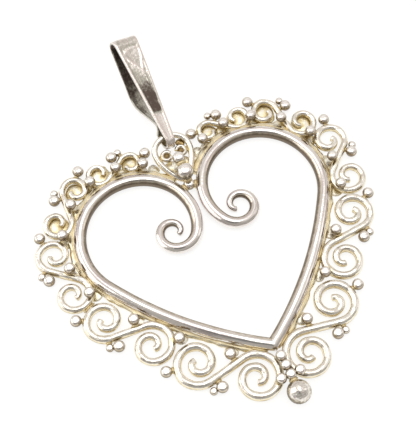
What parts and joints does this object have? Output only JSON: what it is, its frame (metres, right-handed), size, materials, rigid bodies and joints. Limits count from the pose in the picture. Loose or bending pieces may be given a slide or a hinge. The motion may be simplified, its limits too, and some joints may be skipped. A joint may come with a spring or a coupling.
{
  "type": "open-heart pendant",
  "caption": "Open heart of heavy silver wire with curled ends, bordered by S-scrolls and soldered beads, hung from a folded strip bail that swings on a loop in the cleft.",
  "frame": {"origin": "on the plane the pendant lies on, under the middle of its box, with the bail lying out in line", "axes": "+Z out of the pendant's front, +Y from its tip towards its bail, +X to the right seen from the front"},
  "size_m": [0.0388, 0.0462, 0.0059],
  "materials": {
    "bright_silver": "polished silver with brown patina left in the recesses",
    "gilt_silver": "polished silver with a pale gold wash, worn white on top and ochre in the recesses",
    "grey_silver": "worn grey silver, slightly pitted, with bright rims"
  },
  "bodies": {
    "pendant": {"heart_wire": "bright_silver", "neck_ball": "bright_silver", "cleft_ball": "bright_silver", "loop_ball": "bright_silver", "tip_beads": "bright_silver", "tip_ball": "bright_silver", "bail_loop": "gilt_silver", "loop_curl_right": "gilt_silver", "loop_curl_left": "gilt_silver", "scroll_right_1": "gilt_silver", "scroll_right_2": "gilt_silver", "scroll_right_3": "gilt_silver", "scroll_right_4": "gilt_silver", "scroll_right_5": "gilt_silver", "scroll_left_1": "gilt_silver", "scroll_left_2": "gilt_silver", "scroll_left_3": "gilt_silver", "scroll_left_4": "gilt_silver", "scroll_left_5": "gilt_silver", "inner_bead_right_0": "gilt_silver", "inner_bead_right_1": "gilt_silver", "inner_bead_right_2": "gilt_silver", "inner_bead_right_3": "gilt_silver", "inner_bead_right_4": "gilt_silver", "inner_bead_right_5": "gilt_silver", "inner_bead_right_6": "gilt_silver", "inner_bead_right_7": "gilt_silver", "inner_bead_right_8": "gilt_silver", "inner_bead_right_9": "gilt_silver", "inner_bead_left_0": "gilt_silver", "inner_bead_left_1": "gilt_silver", "inner_bead_left_2": "gilt_silver", "inner_bead_left_3": "gilt_silver", "inner_bead_left_4": "gilt_silver", "inner_bead_left_5": "gilt_silver", "inner_bead_left_6": "gilt_silver", "inner_bead_left_7": "gilt_silver", "inner_bead_left_8": "gilt_silver", "inner_bead_left_9": "gilt_silver", "outer_bead_right_0": "gilt_silver", "outer_bead_right_2": "gilt_silver", "outer_bead_right_4": "gilt_silver", "outer_bead_right_6": "gilt_silver", "outer_bead_right_8": "gilt_silver", "outer_bead_left_0": "gilt_silver", "outer_bead_left_2": "gilt_silver", "outer_bead_left_4": "gilt_silver", "outer_bead_left_6": "gilt_silver", "outer_bead_left_8": "gilt_silver", "bead_pair_right_1": "gilt_silver", "bead_pair_right_3": "gilt_silver", "bead_pair_right_5": "gilt_silver", "bead_pair_right_7": "gilt_silver", "bead_pair_right_9": "gilt_silver", "bead_pair_left_1": "gilt_silver", "bead_pair_left_3": "gilt_silver", "bead_pair_left_5": "gilt_silver", "bead_pair_left_7": "gilt_silver", "bead_pair_left_9": "gilt_silver"},
    "bail": {"bail": "grey_silver"}
  },
  "joints": [
    {"name": "bail_swing", "type": "hinge", "parent": "pendant", "child": "bail", "pos_m": [0, 0.01083, 0.00155], "axis": [1, 0, 0], "range_deg": [-100, 105]}
  ]
}
